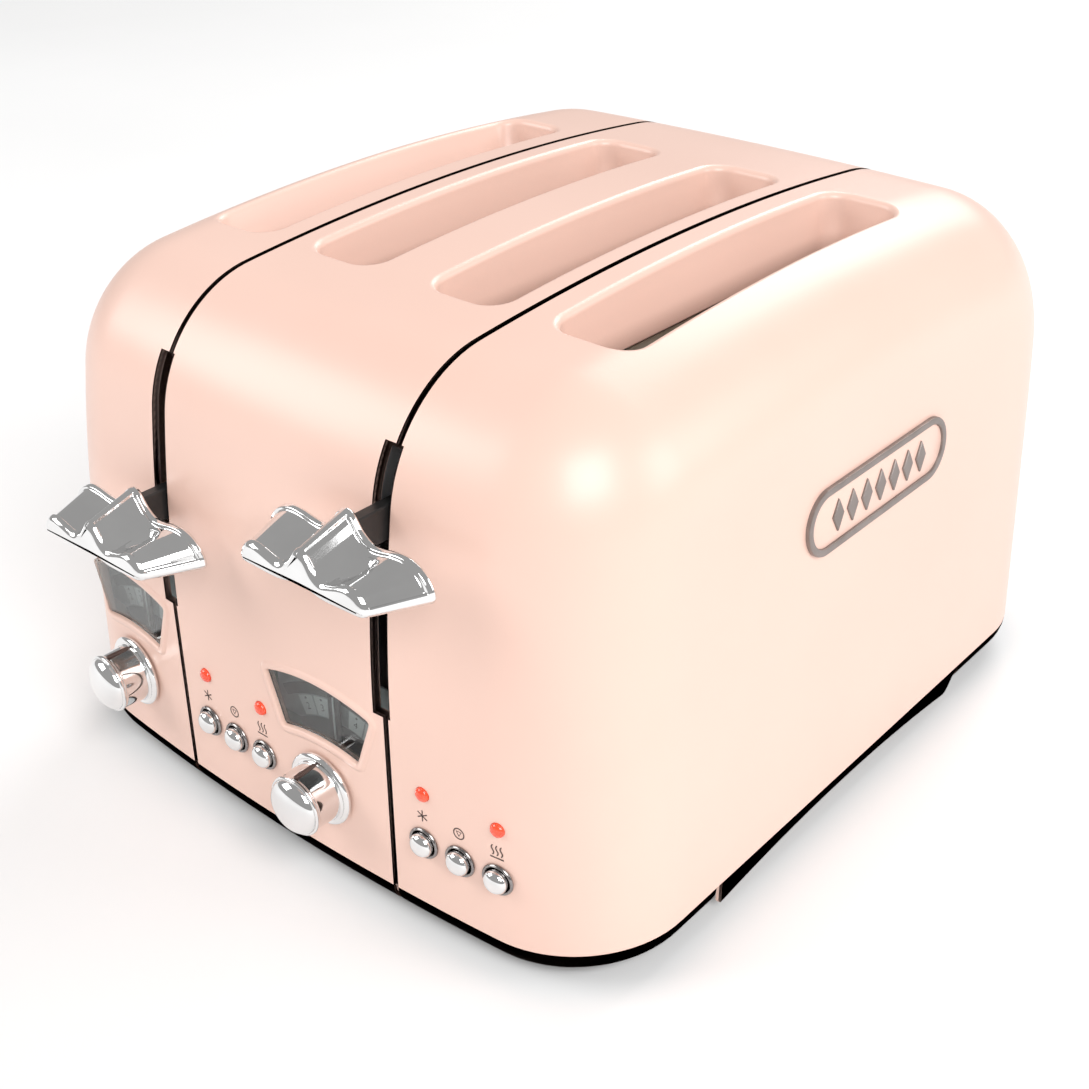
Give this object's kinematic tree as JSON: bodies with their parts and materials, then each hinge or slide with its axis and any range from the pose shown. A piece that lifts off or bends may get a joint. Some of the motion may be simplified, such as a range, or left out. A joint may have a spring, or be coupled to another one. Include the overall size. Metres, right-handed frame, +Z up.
{
  "type": "pop up toaster",
  "caption": "Wide bow-fronted pop up toaster with bread slots running front to back, gull-wing lift levers, browning dials behind arched windows and push buttons.",
  "frame": {"origin": "middle of the overall footprint, levers and tray pulls included, on the worktop", "axes": "+Z up, the levers and controls face -Y, the bread slots run along Y, the badge is on the +X side"},
  "size_m": [0.2804, 0.367, 0.21],
  "materials": {
    "pink_enamel": "gloss",
    "chrome": "polished",
    "black_plastic": "satin",
    "knob_chrome": "satin",
    "dark_chrome": "polished",
    "smoked_glass": "gloss",
    "dial_print": "satin",
    "lamp_lens": "gloss",
    "mica": "matt",
    "bright_wire": "satin",
    "sheet_steel": "satin",
    "spring_steel": "satin",
    "magnet": "satin",
    "board": "satin",
    "rubber": "matt",
    "base_pink": "satin",
    "badge_frame": "satin",
    "badge_field": "gloss"
  },
  "bodies": {
    "housing": {"left_shell": "pink_enamel", "centre_shell": "pink_enamel", "right_shell": "pink_enamel", "base_tray": "base_pink", "rubber_feet": "rubber", "base_screws": "sheet_steel", "cord_gland": "black_plastic", "badge_plate": "badge_field", "badge_ring": "badge_frame", "front_bulkhead": "sheet_steel", "back_bulkhead": "sheet_steel", "rod_bridge": "sheet_steel", "guide_rods": "bright_wire", "heater_cards_1": "mica", "bread_guards_1": "bright_wire", "heater_cards_2": "mica", "bread_guards_2": "bright_wire", "heater_cards_3": "mica", "bread_guards_3": "bright_wire", "heater_cards_4": "mica", "bread_guards_4": "bright_wire", "left_return_spring": "spring_steel", "left_latch_magnet": "magnet", "left_dial_scale": "dial_print", "left_window_lens": "smoked_glass", "left_button_bezels": "dark_chrome", "left_switch_strip": "board", "left_control_board": "board", "left_defrost_lamp": "lamp_lens", "left_reheat_lamp": "lamp_lens", "right_return_spring": "spring_steel", "right_latch_magnet": "magnet", "right_dial_scale": "dial_print", "right_window_lens": "smoked_glass", "right_button_bezels": "dark_chrome", "right_switch_strip": "board", "right_control_board": "board", "right_defrost_lamp": "lamp_lens", "right_reheat_lamp": "lamp_lens"},
    "left_lift": {"left_bread_racks": "bright_wire", "left_carriage": "black_plastic", "left_lever_stem": "black_plastic", "left_lever_wing": "chrome"},
    "left_dial": {"left_browning_knob": "knob_chrome", "left_dial_pointer": "black_plastic"},
    "left_defrost_key": {"left_defrost_button": "chrome"},
    "left_cancel_key": {"left_cancel_button": "chrome"},
    "left_reheat_key": {"left_reheat_button": "chrome"},
    "left_tray": {"left_crumb_tray": "sheet_steel"},
    "right_lift": {"right_bread_racks": "bright_wire", "right_carriage": "black_plastic", "right_lever_stem": "black_plastic", "right_lever_wing": "chrome"},
    "right_dial": {"right_browning_knob": "knob_chrome", "right_dial_pointer": "black_plastic"},
    "right_defrost_key": {"right_defrost_button": "chrome"},
    "right_cancel_key": {"right_cancel_button": "chrome"},
    "right_reheat_key": {"right_reheat_button": "chrome"},
    "right_tray": {"right_crumb_tray": "sheet_steel"}
  },
  "joints": [
    {"name": "left_lift_slide", "type": "slide", "parent": "housing", "child": "left_lift", "axis": [0, 0, 1], "range_m": [-0.033, 0.043], "stiffness_N_per_m": 40, "springref_m": 0.0701, "deforming": ["left_return_spring"]},
    {"name": "left_dial_turn", "type": "hinge", "parent": "housing", "child": "left_dial", "pos_m": [-0.0863, -0.15142, 0.0425], "axis": [-0.0829, -0.9966, 0], "range_deg": [-40, 40]},
    {"name": "left_defrost_press", "type": "slide", "parent": "housing", "child": "left_defrost_key", "axis": [0.038, 0.9993, 0], "range_m": [0, 0.002], "stiffness_N_per_m": 300, "springref_m": -0.001},
    {"name": "left_cancel_press", "type": "slide", "parent": "housing", "child": "left_cancel_key", "axis": [0.0232, 0.9997, 0], "range_m": [0, 0.002], "stiffness_N_per_m": 300, "springref_m": -0.001},
    {"name": "left_reheat_press", "type": "slide", "parent": "housing", "child": "left_reheat_key", "axis": [0.0085, 1, 0], "range_m": [0, 0.002], "stiffness_N_per_m": 300, "springref_m": -0.001},
    {"name": "left_tray_slide", "type": "slide", "parent": "housing", "child": "left_tray", "axis": [0, 1, 0], "range_m": [0, 0.16]},
    {"name": "right_lift_slide", "type": "slide", "parent": "housing", "child": "right_lift", "axis": [0, 0, 1], "range_m": [-0.063, 0.013], "stiffness_N_per_m": 40, "springref_m": 0.0401, "deforming": ["right_return_spring"]},
    {"name": "right_dial_turn", "type": "hinge", "parent": "housing", "child": "right_dial", "pos_m": [0.0217, -0.15477, 0.0425], "axis": [0.0208, -0.9998, 0], "range_deg": [-40, 40]},
    {"name": "right_defrost_press", "type": "slide", "parent": "housing", "child": "right_defrost_key", "axis": [-0.0657, 0.9978, 0], "range_m": [0, 0.002], "stiffness_N_per_m": 300, "springref_m": -0.001},
    {"name": "right_cancel_press", "type": "slide", "parent": "housing", "child": "right_cancel_key", "axis": [-0.0805, 0.9968, 0], "range_m": [0, 0.002], "stiffness_N_per_m": 300, "springref_m": -0.001},
    {"name": "right_reheat_press", "type": "slide", "parent": "housing", "child": "right_reheat_key", "axis": [-0.0953, 0.9954, 0], "range_m": [0, 0.002], "stiffness_N_per_m": 300, "springref_m": -0.001},
    {"name": "right_tray_slide", "type": "slide", "parent": "housing", "child": "right_tray", "axis": [0, 1, 0], "range_m": [0, 0.16]}
  ]
}
